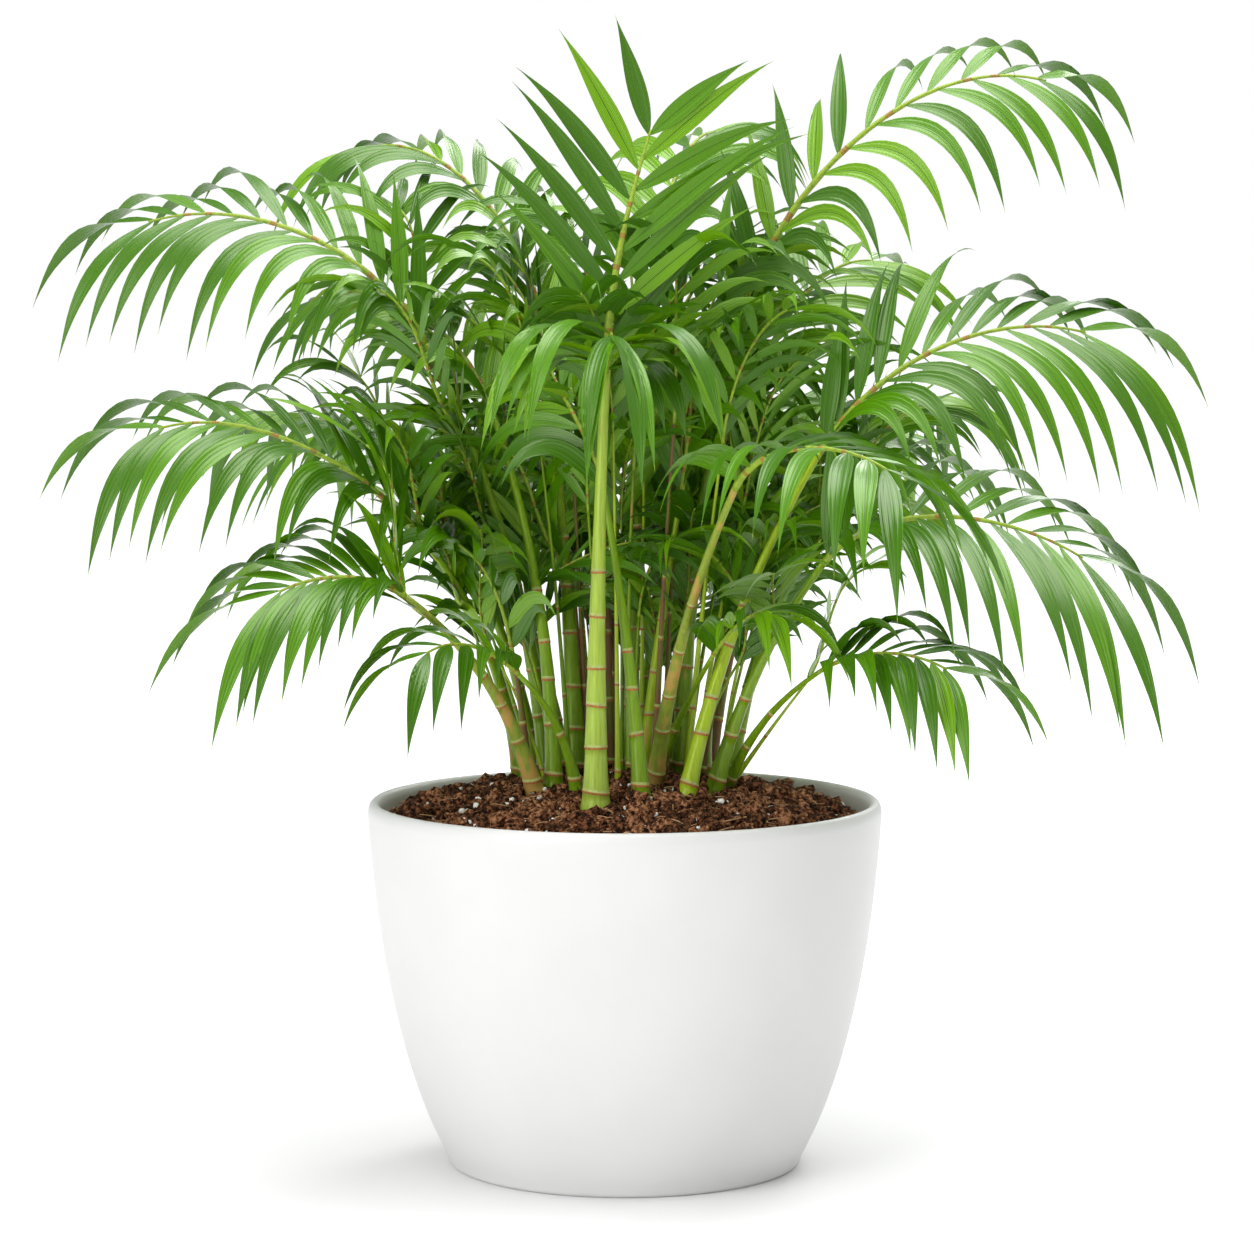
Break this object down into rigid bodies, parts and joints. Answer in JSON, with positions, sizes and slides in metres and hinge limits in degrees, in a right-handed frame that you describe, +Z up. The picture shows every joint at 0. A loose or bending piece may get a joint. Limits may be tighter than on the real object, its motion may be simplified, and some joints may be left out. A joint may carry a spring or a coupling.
{
  "type": "potted bamboo palm",
  "caption": "Clump of slim ringed canes with arching feathery fronds, growing from soil in a plain white tapered planter.",
  "frame": {"origin": "centre of the pot's flat underside, on the surface that the pot stands on", "axes": "+Z up, front of the plant towards -Y, +X on the viewer's right"},
  "size_m": [0.8222, 0.7007, 0.7731],
  "materials": {
    "pot": "satin",
    "soil": "matte",
    "cane": "satin",
    "frond": "satin"
  },
  "bodies": {
    "root": {"cane_back_centre": "cane", "cane_back_high": "cane", "cane_back_left": "cane", "cane_back_low": "cane", "cane_back_right": "cane", "cane_centre_top": "cane", "cane_inner_back": "cane", "cane_inner_back_left": "cane", "cane_inner_back_right": "cane", "cane_inner_left": "cane", "cane_inner_low_left": "cane", "cane_inner_low_right": "cane", "cane_inner_right": "cane", "cane_left_back_upper": "cane", "cane_left_inner": "cane", "cane_left_low_inner": "cane", "cane_left_lower": "cane", "cane_left_middle": "cane", "cane_left_side": "cane", "cane_left_upper": "cane", "cane_right_back_upper": "cane", "cane_right_front": "cane", "cane_right_inner_low": "cane", "cane_right_low": "cane", "cane_right_lower": "cane", "cane_right_middle": "cane", "cane_right_side": "cane", "cane_right_upper": "cane", "frond_back_centre": "frond", "frond_back_high": "frond", "frond_back_left": "frond", "frond_back_low": "frond", "frond_back_right": "frond", "frond_centre_top": "frond", "frond_centre_whorl": "frond", "frond_inner_back": "frond", "frond_inner_back_left": "frond", "frond_inner_back_right": "frond", "frond_inner_left": "frond", "frond_inner_low_left": "frond", "frond_inner_low_right": "frond", "frond_inner_right": "frond", "frond_left_back_upper": "frond", "frond_left_inner": "frond", "frond_left_low_inner": "frond", "frond_left_lower": "frond", "frond_left_middle": "frond", "frond_left_side": "frond", "frond_left_upper": "frond", "frond_right_back_upper": "frond", "frond_right_front": "frond", "frond_right_inner_low": "frond", "frond_right_low": "frond", "frond_right_lower": "frond", "frond_right_middle": "frond", "frond_right_side": "frond", "frond_right_upper": "frond", "pot": "pot", "soil": "soil"}
  },
  "joints": []
}
